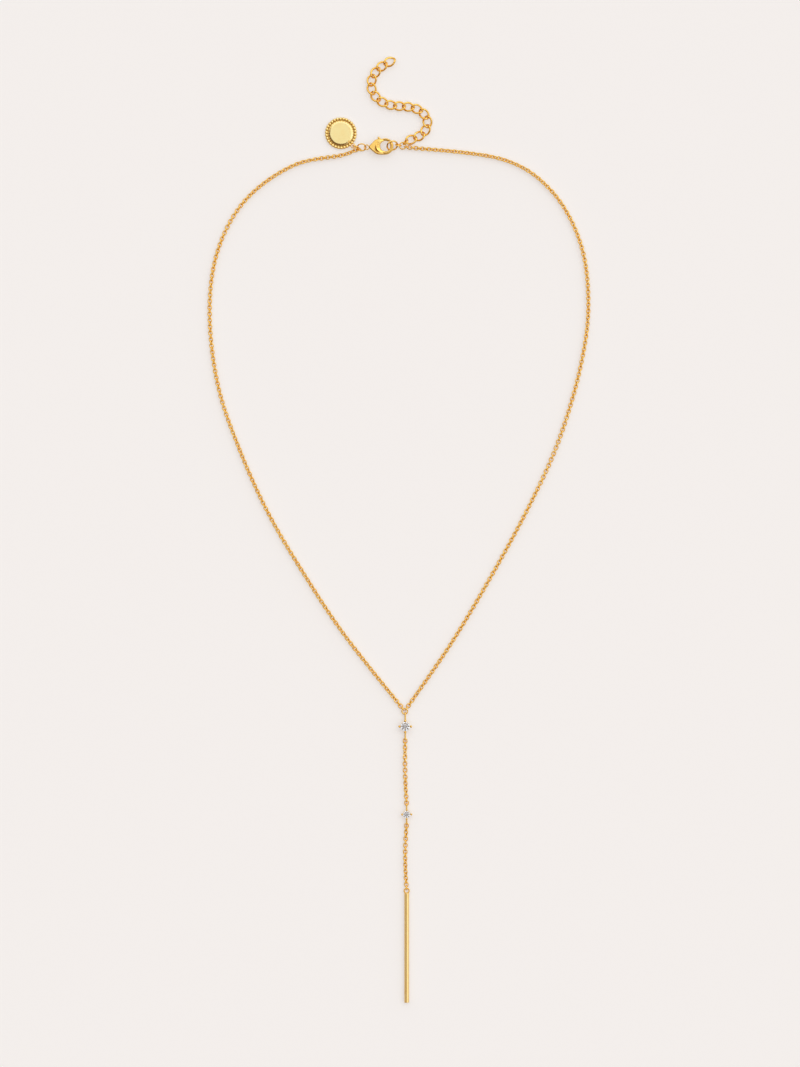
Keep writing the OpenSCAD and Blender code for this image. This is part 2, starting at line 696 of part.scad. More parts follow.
module clasp_ring() {
    color(gold) set_at(clasp_ring_place, clasp_ring_axes) wire_ring(clasp_ring_r, clasp_ring_wire);
}

module tag_ring() {
    color(gold) set_at(tag_ring_place, tag_ring_axes) wire_ring(tag_ring_r, tag_ring_wire);
}

// Disc with a beaded rim, a flat field raised on a slope and an eye on its edge
module tag() {
    bead_r = tag_bead_d / 2;
    bead_sides = 12;
    beads_r = tag_d / 2 - tag_edge - bead_r;
    field_z = tag_rim_thick + tag_field_rise;
    color(pale_gold) {
        translate(tag_place) {
            rotate_extrude($fn = 96)
                polygon([[0, 0], [tag_d / 2, 0], [tag_d / 2, tag_rim_thick],
                         [tag_field_d / 2 + tag_slope, tag_rim_thick], [tag_field_d / 2, field_z],
                         [0, field_z]]);
            for (k = [0 : tag_beads - 1])
                let (turn = tag_eye_turn + 360 * (k + 0.5) / tag_beads)
                translate(polar(turn, beads_r) + [0, 0, tag_rim_thick - tag_bead_sink])
                    rotate([0, 0, turn])
                    sphere(bead_r, $fn = bead_sides);
        }
        translate(tag_eye_place) wire_ring(tag_eye_r, tag_eye_wire);
    }
}

module hook_ring() {
    color(gold) set_at(hook_ring_place, hook_ring_axes) wire_ring(hook_ring_r, hook_ring_wire);
}

module hook_link() {
    color(gold) set_at(hook_link_near + hook_link_half * hook_link_along,
        link_axes(hook_link_along, hook_link_roll))
            oval_link(hook_link_length, hook_link_width, hook_link_wire);
}

module end_ring() {
    color(gold) set_at(end_ring_place, end_ring_axes) wire_ring(end_ring_r, end_ring_wire);
}

module extender_ring() {
    color(gold) set_at(extender_ring_place, extender_ring_axes)
        wire_ring(extender_ring_r, extender_ring_wire);
}

module extender_link(k) {
    from = extender_joints[k - 1];
    to = extender_joints[k];
    color(gold) set_at((from + to) / 2, link_axes(to - from, 0))
        oval_link(curb_length, curb_width, curb_wire, curb_twist, curb_corners, 0.9);
}

chain_left();
chain_right();
y_ring();
upper_setting();
upper_stone();
drop_chain_upper();
lower_setting();
lower_stone();
drop_chain_lower();
bar();
clasp_body();
clasp_pin();
clasp_lever();
clasp_ring();
tag_ring();
tag();
hook_ring();
hook_link();
end_ring();
extender_ring();
for (k = [1 : extender_links])
    extender_link(k);
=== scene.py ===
import random
from math import cos, pi, radians, sin

import bmesh
import bpy
import numpy as np
from mathutils import Matrix, Vector


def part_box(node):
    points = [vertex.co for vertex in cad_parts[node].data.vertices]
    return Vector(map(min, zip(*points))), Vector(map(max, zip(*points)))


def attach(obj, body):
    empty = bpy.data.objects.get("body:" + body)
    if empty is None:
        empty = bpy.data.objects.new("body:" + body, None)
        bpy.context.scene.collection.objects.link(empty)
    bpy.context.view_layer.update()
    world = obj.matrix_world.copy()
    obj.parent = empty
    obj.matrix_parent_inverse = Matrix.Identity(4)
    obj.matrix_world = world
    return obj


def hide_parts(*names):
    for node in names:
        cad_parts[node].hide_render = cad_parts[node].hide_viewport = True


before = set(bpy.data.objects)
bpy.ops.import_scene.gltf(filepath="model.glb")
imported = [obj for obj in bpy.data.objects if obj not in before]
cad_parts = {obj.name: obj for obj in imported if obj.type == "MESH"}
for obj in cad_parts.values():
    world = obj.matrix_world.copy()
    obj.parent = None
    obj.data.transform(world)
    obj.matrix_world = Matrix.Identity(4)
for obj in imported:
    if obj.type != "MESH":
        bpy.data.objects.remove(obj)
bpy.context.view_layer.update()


# The table that the necklace lies on, the light over it and the camera straight above. The table
# is matt warm white paper with a faint glow. The light comes from a tent all round: white from
# above and behind the top of the picture, dark at the camera and its arm, dim and brown below.
class Wire:
    """A shader socket whose sums are written as ordinary sums."""

    def __init__(self, mixture, socket):
        self.mixture = mixture
        self.socket = socket

    def sum(self, operation, *values):
        sockets = dict(enumerate(values))
        return self.mixture.node("ShaderNodeMath", {"operation": operation}, sockets)

    def __add__(self, other):
        return self.sum("ADD", self, other)

    def __radd__(self, other):
        return self.sum("ADD", other, self)

    def __sub__(self, other):
        return self.sum("SUBTRACT", self, other)

    def __rsub__(self, other):
        return self.sum("SUBTRACT", other, self)

    def __mul__(self, other):
        return self.sum("MULTIPLY", self, other)

    def __rmul__(self, other):
        return self.sum("MULTIPLY", other, self)


class Mixture:
    """The nodes of one finish or of the light of the room."""

    def __init__(self, owner):
        owner.use_nodes = True
        self.owner = owner
        self.tree = owner.node_tree

    def node(self, kind, settings, sockets, output=0):
        """Adds a node: its settings first, then the values or links of its sockets."""
        made = self.tree.nodes.new(kind)
        for name, value in settings.items():
            setattr(made, name, value)
        for name, value in sockets.items():
            self.feed(made.inputs[name], value)
        return Wire(self, made.outputs[output])

    def feed(self, socket, value):
        """Gives a socket of the shader a wire, a number or a colour."""
        if isinstance(value, Wire):
            self.tree.links.new(value.socket, socket)
        elif socket.type == "RGBA" and len(value) == 3:
            socket.default_value = (*value, 1)
        else:
            socket.default_value = value

    def grain(self, place, scale, detail=2.0, roughness=0.5):
        """Cloudy noise between 0 and 1, with a scale in spots a millimetre."""
        return self.node("ShaderNodeTexNoise", {}, {
            "Vector": place, "Scale": scale, "Detail": detail, "Roughness": roughness})

    def step(self, value, low, high, to_low=0.0, to_high=1.0):
        """Soft step from one value to another as the input goes from low to high."""
        return self.node("ShaderNodeMapRange", {"interpolation_type": "SMOOTHSTEP"}, {
            "Value": value, "From Min": low, "From Max": high, "To Min": to_low, "To Max": to_high})

    def blend(self, share, first, second):
        """Colour between two colours."""
        return self.node("ShaderNodeMix", {"data_type": "RGBA"}, {
            "Factor": share, 6: first, 7: second}, 2)

    def toward(self, place, direction):
        """How far a vector points along a direction."""
        return self.node("ShaderNodeVectorMath", {"operation": "DOT_PRODUCT"}, {
            0: place, 1: direction}, "Value")


MM = 0.001
room = Mixture(bpy.data.worlds.new("room"))
bpy.context.scene.world = room.owner
look = room.node("ShaderNodeTexCoord", {}, {}, "Generated")
tent_top, camera_side = (0.30, 0.50, 1.00), (0, -0.10, 0.995)
tent_brown, tent_white = (1.0, 0.44, 0.12), (1.0, 1.0, 1.0)
brown_strength, white_strength = 0.12, 1.15
tent_edge = (0.16, 0.48)
tent_white_share = room.step(room.toward(look, tent_top), *tent_edge)
across = room.toward(look, (1, 0, 0))
# The camera hangs on an arm that runs up and down the picture
camera_arm_edge, camera_arm_end, camera_arm_dark = (0.035, 0.120), (0.92, 0.98), 0.96
camera_arm = (1 - room.step(across * across, *camera_arm_edge)) * room.step(
    room.toward(look, camera_side), *camera_arm_end)
light_share = tent_white_share * (1 - camera_arm_dark * camera_arm)
backdrop = room.tree.nodes["Background"].inputs
room.feed(backdrop["Color"], room.blend(light_share, tent_brown, tent_white))
room.feed(backdrop["Strength"], brown_strength + (white_strength - brown_strength) * light_share)

lamp_data = bpy.data.lights.new("lamp", "SUN")
lamp_data.energy = 0.25
lamp_data.angle = radians(30)
lamp_data.color = (1.0, 0.98, 0.95)
lamp = bpy.data.objects.new("lamp", lamp_data)
toward_lamp = Vector((0.50, 0.42, 0.76))
lamp.rotation_euler = toward_lamp.to_track_quat("Z", "Y").to_euler()
bpy.context.collection.objects.link(lamp)

table_half = 5.0
table_mesh = bpy.data.meshes.new("table")
table_mesh.from_pydata(
    [(-table_half, -table_half, 0), (table_half, -table_half, 0),
     (table_half, table_half, 0), (-table_half, table_half, 0)], [], [(0, 1, 2, 3)])
table = bpy.data.objects.new("table", table_mesh)
bpy.context.collection.objects.link(table)
paper = Mixture(bpy.data.materials.new("warm_white_paper"))
paper_surface = paper.tree.nodes["Principled BSDF"].inputs
paper_place = paper.node("ShaderNodeTexCoord", {}, {}, "Object")
paper_white, paper_whiter = (0.500, 0.490, 0.485), (0.504, 0.494, 0.489)
paper_cloud = paper.grain(paper_place, 9.0)
paper.feed(paper_surface["Base Color"], paper.blend(paper_cloud, paper_white, paper_whiter))
paper.feed(paper_surface["Roughness"], 0.9)
paper.feed(paper_surface["Specular IOR Level"], 0.0)
# Painted light: the paper glows a little, which lightens the shadows on the table
paper.feed(paper_surface["Emission Color"], (1.0, 0.97, 0.95))
paper.feed(paper_surface["Emission Strength"], 0.44)
table_mesh.materials.append(paper.owner)

# The photograph is 245.2 by 327 mm of the table, seen from straight above
picture_height = 0.3270
picture_middle = (0.0003, -0.00115)
camera_height = 1.0
camera_data = bpy.data.cameras.new("camera")
camera_data.sensor_width = 36.0
camera_data.lens = camera_data.sensor_width * camera_height / picture_height
camera = bpy.data.objects.new("camera", camera_data)
camera.location = (*picture_middle, camera_height)
bpy.context.collection.objects.link(camera)
bpy.context.scene.camera = camera
bpy.context.scene.view_settings.view_transform = "Standard"


# Both sides of the necklace: fine cable chain of drawn gold plated wire. Each oval link is
# soldered shut and passes through the two next to it. One link lies flatter and the next
# stands on edge, a quarter turn on.
def unit(vector):
    """Vector, or row of vectors, of length 1."""
    vector = np.asarray(vector, float)
    return vector / np.linalg.norm(vector, axis=-1, keepdims=True)


def link_axes(along, roll):
    """Axes of a link that lies along a direction and is rolled about it, in degrees."""
    x = unit(along)
    side = unit(np.cross([0, 0, 1], x))
    up = np.cross(x, side)
    c, s = cos(radians(roll)), sin(radians(roll))
    return np.array([x, c * side + s * up, c * up - s * side])


def tube_round(points, ups, wire, sides, height=None):
    """Skin of a wire that runs through a closed loop of points; it is round without a height."""
    along = unit(np.roll(points, -1, 0) - np.roll(points, 1, 0))
    out = unit(np.cross(along, ups))
    up = np.cross(out, along)
    turn = (2 * pi * np.arange(sides) / sides)[None, :, None]
    skin = points[:, None] + (wire / 2 * np.cos(turn) * out[:, None]
                              + (height or wire) / 2 * np.sin(turn) * up[:, None])
    ring, side = np.meshgrid(np.arange(len(points)), np.arange(sides), indexing="ij")
    ring_on, side_on = (ring + 1) % len(points), (side + 1) % sides
    quads = np.stack([ring * sides + side, ring_on * sides + side,
                      ring_on * sides + side_on, ring * sides + side_on], -1)
    return skin.reshape(-1, 3), quads.reshape(-1, 4)


def oval_link(length, width, wire, corners, sides, fullness, twist=0.0):
    """Link that lies along X; twist turns its ends against each other, in degrees."""
    angle = 2 * pi * np.arange(corners) / corners
    turn = radians(twist) / 2 * np.cos(angle)
    reach = (width - wire) / 2 * np.sin(angle)
    x = (length - wire) / 2 * np.sign(np.cos(angle)) * np.abs(np.cos(angle)) ** fullness
    none = np.zeros(corners)
    return tube_round(np.stack([x, reach * np.cos(turn), reach * np.sin(turn)], -1),
                      np.stack([none, -np.sin(turn), np.cos(turn)], -1), wire, sides)


def put(shape, place, axes):
    """Shape turned onto a set of axes and moved to a place."""
    points, faces = shape
    return np.asarray(place) + points @ np.asarray(axes), faces


def make(name, shapes, finish, node, body="necklace"):
    """One piece from shapes in millimetres, in place of a CAD node."""
    sharp_from = radians(60)
    points = np.concatenate([shape[0] for shape in shapes]) * MM
    faces, first = [], 0
    for shape_points, shape_faces in shapes:
        faces += [[corner + first for corner in face] for face in np.asarray(shape_faces, object)]
        first += len(shape_points)
    mesh = bpy.data.meshes.new(name)
    mesh.from_pydata(points.tolist(), [], faces)
    mesh.materials.append(finish)
    mesh.shade_smooth()
    mesh.set_sharp_from_angle(angle=sharp_from)
    piece = bpy.data.objects.new(name, mesh)
    bpy.context.collection.objects.link(piece)
    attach(piece, body)
    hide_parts(node)
    return piece


def gold_finish(name, pale, deep, polish, unevenness):
    """Plated and polished gold: cloudy colour, hairlines from the cloth, a soft unevenness.

    The lower the polish, the sharper the reflections.
    """
    gold = Mixture(bpy.data.materials.new(name))
    surface = gold.tree.nodes["Principled BSDF"].inputs
    metres = gold.node("ShaderNodeTexCoord", {}, {}, "Object")
    place = gold.node("ShaderNodeVectorMath", {"operation": "SCALE"}, {0: metres, "Scale": 1 / MM})
    drawn = gold.node("ShaderNodeMapping", {}, {"Vector": place, "Scale": (14.0, 2.5, 6.0)})
    cloud = gold.grain(place, 0.7, 3.0)
    speck = gold.grain(place, 9.0, 3.0, 0.6)
    hairline = gold.step(gold.grain(drawn, 3.0, 2.0, 0.7), 0.55, 0.72)
    gold.feed(surface["Base Color"], gold.blend(gold.step(cloud, 0.3, 0.7), deep, pale))
    gold.feed(surface["Metallic"], 1.0)
    # Seen at a low angle the gold turns orange
    gold.feed(surface["Specular Tint"], (0.44, 0.19, 0.04))
    gold.feed(surface["Roughness"], polish + 0.05 * speck + 0.05 * hairline)
    waves = gold.grain(place, 1.6, 2.0) + 0.08 * speck + 0.02 * hairline
    gold.feed(surface["Normal"], gold.node("ShaderNodeBump", {}, {
        "Strength": unevenness, "Distance": 0.02 * MM, "Height": waves}))
    return gold.owner


polished_gold = gold_finish(
    "polished_gold", (0.975, 0.660, 0.175), (0.965, 0.575, 0.115), 0.10, 0.25)

link_length, link_width, link_wire = 1.76, 1.45, 0.34
link_play = 0.10
link_pitch = link_length - 2 * link_wire - link_play
chain_height = 0.725
# From the middle of an end link's outer wire to where the chain's free run starts
end_link_run = 1.79
fine_link = oval_link(link_length, link_width, link_wire, corners=28, sides=10, fullness=0.75)


def smooth_route(points, steps=12):
    """Smooth line through chosen points."""
    line = []
    last = len(points) - 1
    for i in range(last):
        a, b, c, d = (points[max(i - 1, 0)], points[i], points[i + 1], points[min(i + 2, last)])
        for t in np.arange(steps) / steps:
            # A curve through b and c that leaves b along a to c
            line.append(0.5 * (2 * b + t * (c - a) + t ** 2 * (2 * a - 5 * b + 4 * c - d)
                               + t ** 3 * (3 * b - a - 3 * c + d)))
    return np.array(line + [points[last]])


def even_steps(line, pitch):
    """Points spread evenly along a line, about a pitch apart."""
    run = np.concatenate([[0], np.cumsum(np.linalg.norm(np.diff(line, axis=0), axis=1))])
    count = round(run[-1] / pitch)
    marks = np.linspace(0, run[-1], count + 1)
    return np.stack([np.interp(marks, run, line[:, axis]) for axis in range(3)], -1)


def chain_side(near, along, roll, route, low, lean, seed):
    """Links from a ring down to the Y ring, through the places of a route.

    Lean lists how far the first link and every other one after it is rolled, in degrees, at
    even steps down the side; the links between them stand a quarter turn from that.
    """
    chance = random.Random(seed)
    # No link lies quite as its neighbours do, apart from the end links
    shake_most, shake_ease = 6, 3
    near, along, low = np.array(near), unit(along), np.array(low)
    through = [np.array([x, y, chain_height]) for x, y in route]
    low_along = unit(through[-1] - low)
    free_run = smooth_route([near + end_link_run * along, *through, low + end_link_run * low_along])
    half_joint = (link_wire + link_play) / 2
    joints = even_steps(np.concatenate([[near + half_joint * along], free_run,
                                        [low + half_joint * low_along]]), link_pitch)
    count = len(joints) - 1
    # The last link stands on edge in the Y ring
    last = 90 - 90 * (count - 1)
    last -= 180 * round((last - lean[-1]) / 180)
    lean_from = 8
    marks = [0, *np.linspace(lean_from, count - 1 - lean_from, len(lean)), count - 1]
    shapes = []
    for k in range(count):
        rolled = np.interp(k, marks, [roll, *lean, last]) + 90 * k
        shake = chance.uniform(-shake_most, shake_most)
        shake *= min(k, count - 1 - k, shake_ease) / shake_ease
        shapes.append(put(fine_link, (joints[k] + joints[k + 1]) / 2,
                          link_axes(joints[k + 1] - joints[k], rolled + shake)))
    return shapes


left_route = [
    (-17.5, 114.7), (-32.5, 111.5), (-47, 101), (-55.5, 85.5), (-58, 66.5), (-55.5, 44.5),
    (-49, 25), (-40, 5), (-28.5, -14.5), (-16.5, -32.5)]
right_route = [
    (31.5, 113.5), (46.5, 104), (55.5, 88), (58, 69), (55.5, 49.5), (49, 27.5),
    (40.5, 8.5), (29.5, -12), (16.5, -34)]
left_lean = [12, 28, 34, 22, 4, 22, 20, 14, 18, 18, 16, 32, 28, 24, 28, 26, 30, 26, 30, 32, 34]
right_lean = [62, 60, 58, 62, 64, 68, 72, 68, 62, 70, 72, 80, 90, 106, 116, 118, 114, 116,
              118, 120, 122]
# Where each side's first link hangs in its ring, which way it leaves it, and how it is rolled
clasp_ring_hold, clasp_ring_way = (-11.686, 116.467, 0.780), (-0.9925, -0.1219, -0.0137)
end_ring_hold, end_ring_way = (1.595, 117.279, 0.754), (0.9921, -0.1254, -0.0072)
left_roll, right_roll = 60, 102
y_ring_hold_left = (1.516, -55.301, chain_height)
y_ring_hold_right = (1.951, -55.278, chain_height)
left_links = chain_side(clasp_ring_hold, clasp_ring_way, left_roll, left_route,
                        y_ring_hold_left, left_lean, seed=11)
right_links = chain_side(end_ring_hold, end_ring_way, right_roll, right_route,
                         y_ring_hold_right, right_lean, seed=12)
make("left_chain", left_links, polished_gold, "chain_left")
make("right_chain", right_links, polished_gold, "chain_right")


# The Y ring: a small round ring of gold plated wire, soldered shut. It lies flat, and the last
# link of each side and the upper hoop of the first setting pass through it.
def round_ring(across, wire, corners=64, sides=16):
    """Closed ring in the XY plane, from its outer diameter."""
    angle = 2 * pi * np.arange(corners) / corners
    loop = (across - wire) / 2 * np.stack([np.cos(angle), np.sin(angle), 0 * angle], -1)
    return tube_round(loop, np.tile([0.0, 0.0, 1.0], (corners, 1)), wire, sides)


def middle_of(node):
    """Middle of a CAD node's box, in millimetres."""
    low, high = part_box(node)
    return (np.array(low) + np.array(high)) / 2 / MM


flat_axes = np.eye(3)
y_ring_across, y_ring_wire = 2.1, 0.38
make("y_ring_wire", [put(round_ring(y_ring_across, y_ring_wire), middle_of("y_ring"), flat_axes)],
     polished_gold, "y_ring")


# The two stone settings: cast metal, four prongs with ball tips on two rings, and a hoop of
# wire soldered on edge above and below. Tumbling rounds the edges and fills the joints.

# Corners of a CAD mesh that lie closer than this, in millimetres, are one
same_point = 0.0005


def tumbled(name, node, skin, rounds, finish, plate=0.0, saw=None):
    """Piece cast in the form of a CAD node, with the edges rounded and the joints filled.

    The skin is how finely it is cast and the rounds are how long it is tumbled; the plate makes
    up for what that wears off. A saw is a point and a direction: what lies beyond is left off.
    """
    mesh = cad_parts[node].data.copy()
    mesh.transform(Matrix.Scale(1 / MM, 4))
    weld = bmesh.new()
    weld.from_mesh(mesh)
    bmesh.ops.remove_doubles(weld, verts=weld.verts, dist=same_point)
    if saw:
        everything = weld.verts[:] + weld.edges[:] + weld.faces[:]
        cut = bmesh.ops.bisect_plane(weld, geom=everything, plane_co=saw[0], plane_no=saw[1],
                                     clear_outer=True)
        rim_edges = [part for part in cut["geom_cut"] if isinstance(part, bmesh.types.BMEdge)]
        bmesh.ops.holes_fill(weld, edges=rim_edges)
    weld.to_mesh(mesh)
    weld.free()
    rough = bpy.data.objects.new("rough_" + node, mesh)
    bpy.context.collection.objects.link(rough)
    cast = rough.modifiers.new("cast", "REMESH")
    cast.mode = "VOXEL"
    cast.voxel_size = skin
    plating = rough.modifiers.new("plating", "DISPLACE")
    plating.mid_level = 0.0
    plating.strength = plate
    tumble = rough.modifiers.new("tumble", "SMOOTH")
    tumble.factor = 0.5
    tumble.iterations = rounds
    bpy.context.view_layer.update()
    done = rough.evaluated_get(bpy.context.evaluated_depsgraph_get())
    smooth = bpy.data.meshes.new_from_object(done)
    bpy.data.objects.remove(rough)
    smooth.name = name
    smooth.transform(Matrix.Scale(MM, 4))
    smooth.materials.clear()
    smooth.materials.append(finish)
    smooth.shade_smooth()
    piece = bpy.data.objects.new(name, smooth)
    bpy.context.collection.objects.link(piece)
    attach(piece, "necklace")
    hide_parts(node)
    return piece


setting_skin, setting_rounds = 0.04, 10
tumbled("upper_prongs", "upper_setting", setting_skin, setting_rounds, polished_gold)
tumbled("lower_prongs", "lower_setting", setting_skin, setting_rounds, polished_gold)


# The two stones: clear, round and brilliant cut, each held by its four prongs. The facets
# are those of the CAD stones, which stay in place.
def stone_finish():
    """Clear cut stone with a breath of grey in it and a trace of polish marks."""
    stone = Mixture(bpy.data.materials.new("clear_stone"))
    surface = stone.tree.nodes["Principled BSDF"].inputs
    metres = stone.node("ShaderNodeTexCoord", {}, {}, "Object")
    place = stone.node("ShaderNodeVectorMath", {"operation": "SCALE"}, {0: metres, "Scale": 1 / MM})
    cloud = stone.grain(place, 1.4)
    greyer, clearer = (0.74, 0.82, 0.90), (0.86, 0.92, 0.98)
    stone.feed(surface["Base Color"], stone.blend(cloud, greyer, clearer))
    stone.feed(surface["Roughness"], 0.02 * stone.grain(place, 6.0))
    stone.feed(surface["IOR"], 2.1)
    stone.feed(surface["Transmission Weight"], 1.0)
    return stone.owner


clear_stone = stone_finish()
for stone_node in ("upper_stone", "lower_stone"):
    stone_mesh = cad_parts[stone_node].data
    for index in range(len(stone_mesh.materials)):
        stone_mesh.materials[index] = clear_stone
    stone_mesh.shade_flat()


# The drop: the same cable chain in two lengths of twenty links, from the upper setting to the
# lower one and from there to the bar. Each length lies in a slight bow; every link is a quarter
# turn from the one above.
def drop_links(first, last_x, bow, lean):
    """Links down from a first end wire; lean lists how the first and every other one is rolled."""
    count, run = 20, 20.40
    loop = link_length - link_wire
    pitch = (run - loop) / (count - 1)

    def wire_at(down):
        t = down / run
        return np.array([first[0] + (last_x - first[0]) * t + bow * sin(pi * t),
                         first[1] - down, chain_height])

    shapes = []
    for k in range(count):
        start, end = wire_at(k * pitch), wire_at(k * pitch + loop)
        rolled = np.interp(k, np.linspace(0, count - 1, len(lean)), lean) + 90 * k
        shapes.append(put(fine_link, (start + end) / 2, link_axes(end - start, rolled)))
    return shapes


upper_drop_lean = [0, 25, 55, 85, 92, 95, 120, 132, 105, 90]
lower_drop_lean = [0, 35, 12, 4, 8, 22, 32, 35, 32, 20, 0]
make("drop_links_upper", drop_links((1.9, -63.951), 2.35, -0.25, upper_drop_lean),
     polished_gold, "drop_chain_upper")
make("drop_links_lower", drop_links((2.35, -89.908), 2.35, -0.45, lower_drop_lean),
     polished_gold, "drop_chain_lower")


# The bar: a plain round gold plated rod with its edges broken, and a wire eye soldered on
# its top end, which the last link passes through.
def turned(profile, corners=96):
    """Solid turned about Z from a profile of radius and height; it starts and ends at r = 0."""
    angle = 2 * pi * np.arange(corners) / corners
    inner = profile[1:-1]
    points = [np.array([[r * cos(a), r * sin(a), z] for a in angle]) for r, z in inner]
    points.append(np.array([[0, 0, profile[0][1]], [0, 0, profile[-1][1]]]))
    faces = []
    for level in range(len(inner) - 1):
        for k in range(corners):
            on = (k + 1) % corners
            faces.append([level * corners + k, level * corners + on,
                          (level + 1) * corners + on, (level + 1) * corners + k])
    bottom = len(inner) * corners
    top_level = (len(inner) - 1) * corners
    for k in range(corners):
        on = (k + 1) % corners
        faces.append([bottom, on, k])
        faces.append([bottom + 1, top_level + k, top_level + on])
    return np.concatenate(points), faces


def eased(profile, ease, steps=4):
    """Profile with its corners rounded, and a point beside each that holds the flats flat."""
    hold = 1.8
    corners = [np.array(point, float) for point in profile]
    line = [corners[0]]
    for before, corner, after in zip(corners, corners[1:], corners[2:]):
        back, on = unit(before - corner) * ease, unit(after - corner) * ease
        line.append(corner + hold * back)
        for t in np.arange(steps + 1) / steps:
            line.append(corner + (1 - t) ** 2 * back + t ** 2 * on)
        line.append(corner + hold * on)
    return line + [corners[-1]]


bar_across, bar_length, bar_edge = 1.45, 33.5, 0.12
bar_top = (2.35, -111.288, chain_height)
bar_eye_across, bar_eye_wire = 1.9, 0.42
bar_eye_middle = (2.35, -110.548, chain_height)
down_axes = np.array([[1, 0, 0], [0, 0, 1], [0, -1, 0]])
pale_polished_gold = gold_finish(
    "pale_polished_gold", (1.0, 0.775, 0.345), (1.0, 0.730, 0.290), 0.04, 0.06)
bar_profile = eased([(0, 0), (bar_across / 2, 0), (bar_across / 2, bar_length), (0, bar_length)],
                    bar_edge)
make("bar_rod", [put(turned(bar_profile), bar_top, down_axes)],
     pale_polished_gold, "bar")
make("bar_eye", [put(round_ring(bar_eye_across, bar_eye_wire), bar_eye_middle, flat_axes)],
     polished_gold, "bar")


# The lobster clasp: a cast and tumbled body with its hook and a tail eye, a pin through it and a
# sprung lever with a thumb tab, which turns on the pin. Its body, lever and pin heads are painted a
# little darker than the chain's gold: painted shade. Sizes on the clasp run from the middle of its
# hook.
clasp_turn = radians(3)
clasp_along = np.array([cos(clasp_turn), sin(clasp_turn), 0])
clasp_axes = np.array([clasp_along, [-sin(clasp_turn), cos(clasp_turn), 0], [0, 0, 1]])
hook_middle = np.array([-4.25, 117.35, 1.334])
tail_cut_at, tail_eye_at = -4.88, -5.65
tail_eye_across, tail_eye_wire = 1.75, 0.30
tail_cut = Vector(hook_middle + tail_cut_at * clasp_along)
# Painted shade: a darker copy of the gold for the clasp's body, lever and pin heads
painted_shade_polished_gold = gold_finish(
    "painted_shade_polished_gold", (0.88, 0.610, 0.190), (0.84, 0.530, 0.130), 0.12, 0.60)
clasp_skin, clasp_rounds, clasp_plate = 0.05, 90, 0.04
tumbled("clasp_casting", "clasp_body", clasp_skin, clasp_rounds, painted_shade_polished_gold,
        clasp_plate, (tail_cut, Vector(-clasp_along)))
make("clasp_tail_eye",
     [put(round_ring(tail_eye_across, tail_eye_wire), hook_middle + tail_eye_at * clasp_along,
          flat_axes)],
     polished_gold, "clasp_body")


def rounded_arm(points, width, height, end, sides=20):
    """Flat bar with full edges and rounded ends, along points in the XY plane."""
    fullness, end_steps, run_steps = 0.7, 7, 40
    points = np.array([[x, y, 0.0] for x, y in points])
    run = np.concatenate([[0], np.cumsum(np.linalg.norm(np.diff(points, axis=0), axis=1))])
    ease = end * (1 - np.cos(np.linspace(0, pi / 2, end_steps)))
    marks = np.concatenate([ease, np.linspace(end, run[-1] - end, run_steps)[1:-1],
                            run[-1] - ease[::-1]])
    middle = np.stack([np.interp(marks, run, points[:, axis]) for axis in range(3)], -1)
    along = unit(np.gradient(middle, axis=0))
    out = np.stack([along[:, 1], -along[:, 0], 0 * marks], -1)
    near_end = np.clip(np.minimum(marks, run[-1] - marks) / end, 0, 1)
    size = np.sqrt(1 - (1 - near_end) ** 2)[:, None, None]
    turn = 2 * pi * np.arange(sides) / sides
    flat = (np.sign(np.cos(turn)) * np.abs(np.cos(turn)) ** fullness)[None, :, None]
    rise = (np.sign(np.sin(turn)) * np.abs(np.sin(turn)) ** fullness)[None, :, None]
    skin = middle[:, None] + size * (width / 2 * flat * out[:, None]
                                     + height / 2 * rise * np.array([0, 0, 1.0]))
    faces = [[i * sides + k, i * sides + (k + 1) % sides,
              (i + 1) * sides + (k + 1) % sides, (i + 1) * sides + k]
             for i in range(len(marks) - 1) for k in range(sides)]
    return skin.reshape(-1, 3), faces


def polar(turn, r):
    """Point at a turn in degrees and a distance from the middle."""
    return r * cos(radians(turn)), r * sin(radians(turn))


pin_place = np.array([-2.15, 0.9, 0])
lever_height, arm_width, arm_end = 0.60, 0.82, 0.22
# The arm follows the hook's round and ends beside the pin; the tab stands out from it
arm_r, arm_tip_turn, arm_root_turn, arm_root = 2.07, 50.5, 148, (-2.0, 1.08)
arm_line = [polar(turn, arm_r) for turn in np.linspace(arm_tip_turn, arm_root_turn, 40)]
arm_line.append(arm_root)
tab_width, tab_end, tab_turn, tab_from, tab_to = 0.70, 0.32, 124.5, 2.0, 3.62
tab_line = [polar(tab_turn, r) for r in np.linspace(tab_from, tab_to, 12)]
hub_r, hub_wire, hub_corners = 0.48, 0.28, 32
hub_turns = 2 * pi * np.arange(hub_corners) / hub_corners
hub_line = pin_place + hub_r * np.stack([np.cos(hub_turns), np.sin(hub_turns), 0 * hub_turns], -1)
hub_ups = np.tile([0.0, 0.0, 1.0], (hub_corners, 1))
make("clasp_lever_arm",
     [put(shape, hook_middle, clasp_axes) for shape in (
         rounded_arm(arm_line, arm_width, lever_height, arm_end),
         rounded_arm(tab_line, tab_width, lever_height, tab_end),
         tube_round(hub_line, hub_ups, hub_wire, 16, lever_height))],
     painted_shade_polished_gold, "clasp_lever", "lever")

head_r, head_top, head_under, pin_r, pin_edge = 0.36, 0.82, 0.6, 0.2, 0.04
pin_profile = eased([
    (0, -head_top), (head_r, -head_top), (head_r, -head_under), (pin_r, -head_under),
    (pin_r, head_under), (head_r, head_under), (head_r, head_top), (0, head_top)], pin_edge)
pin_points, pin_faces = turned(pin_profile, 32)
# Its heads are filed to the slope round the opening
head_slope, filed_from = 0.48, 0.7
head_side = np.sign(pin_points[:, 2]) * (np.abs(pin_points[:, 2]) > filed_from)
pin_points[:, 2] += head_slope * head_side * (pin_points @ unit(pin_place))
make("clasp_pin_heads",
     [put((pin_points, pin_faces), hook_middle + pin_place @ clasp_axes, clasp_axes)],
     painted_shade_polished_gold, "clasp_pin")


